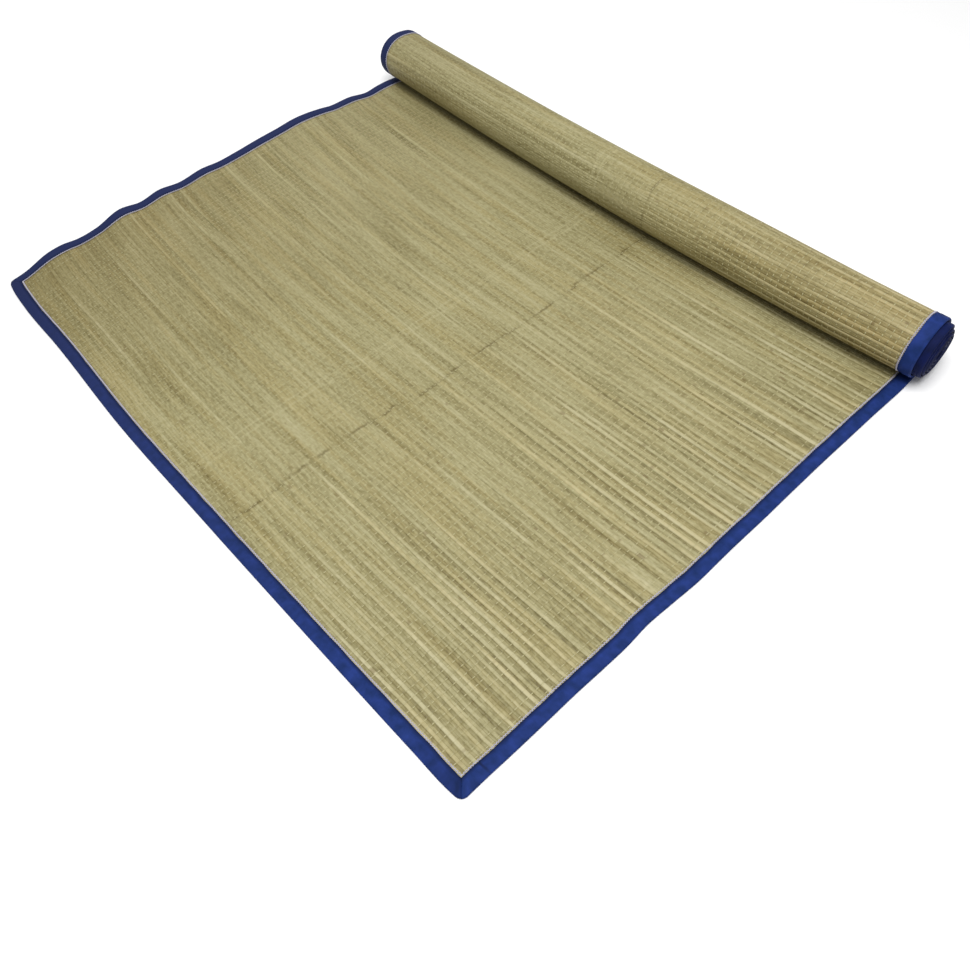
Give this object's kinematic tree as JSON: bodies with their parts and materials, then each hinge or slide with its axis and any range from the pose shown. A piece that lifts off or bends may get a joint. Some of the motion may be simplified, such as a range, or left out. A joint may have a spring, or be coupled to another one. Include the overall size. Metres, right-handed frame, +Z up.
{
  "type": "half-unrolled beach mat",
  "caption": "Woven straw beach mat bound with blue tape, half unrolled on the ground, the rest still wound in a loose roll along its back edge.",
  "frame": {"origin": "on the ground under the middle of the whole mat's box", "axes": "+Z up, +X along the straws and the roll from left to right, +Y from the open front edge towards the roll"},
  "size_m": [0.9104, 0.7166, 0.0775],
  "materials": {
    "straw": "woven rush straw, satin on the stalks, bundles running along X with a fine thread warp",
    "tape": "woven blue binding tape, matt, paler along its middle"
  },
  "bodies": {
    "root": {"straw_panel": "straw", "front_tape": "tape", "left_tape": "tape", "right_tape": "tape"}
  },
  "joints": []
}
